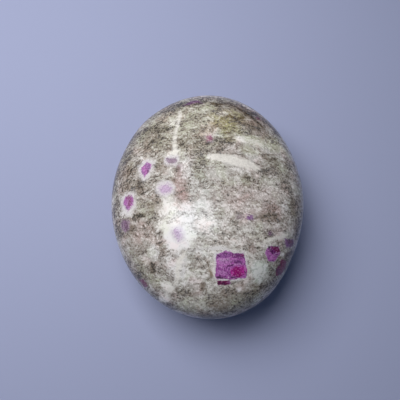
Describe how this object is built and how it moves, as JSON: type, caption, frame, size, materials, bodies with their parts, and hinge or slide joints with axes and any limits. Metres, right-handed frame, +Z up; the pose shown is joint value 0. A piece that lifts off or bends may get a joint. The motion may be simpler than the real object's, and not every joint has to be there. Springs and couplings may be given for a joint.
{
  "type": "ruby in albite palm stone",
  "caption": "Polished oval palm stone of pale speckled albite with ruby crystals ground flush, resting on a small flat spot.",
  "frame": {"origin": "on the ground, under the middle of the stone's box, inside the small flat spot that it rests on", "axes": "+Z up through the stone's thickness, +Y along its length towards the blunt end, +X to its right"},
  "size_m": [0.0508, 0.06, 0.028],
  "materials": {
    "polished_ruby_in_albite": "polished, pale cream and grey albite with brown mica specks, white veins and magenta ruby crystals"
  },
  "bodies": {
    "root": {"palm_stone": "polished_ruby_in_albite"}
  },
  "joints": []
}
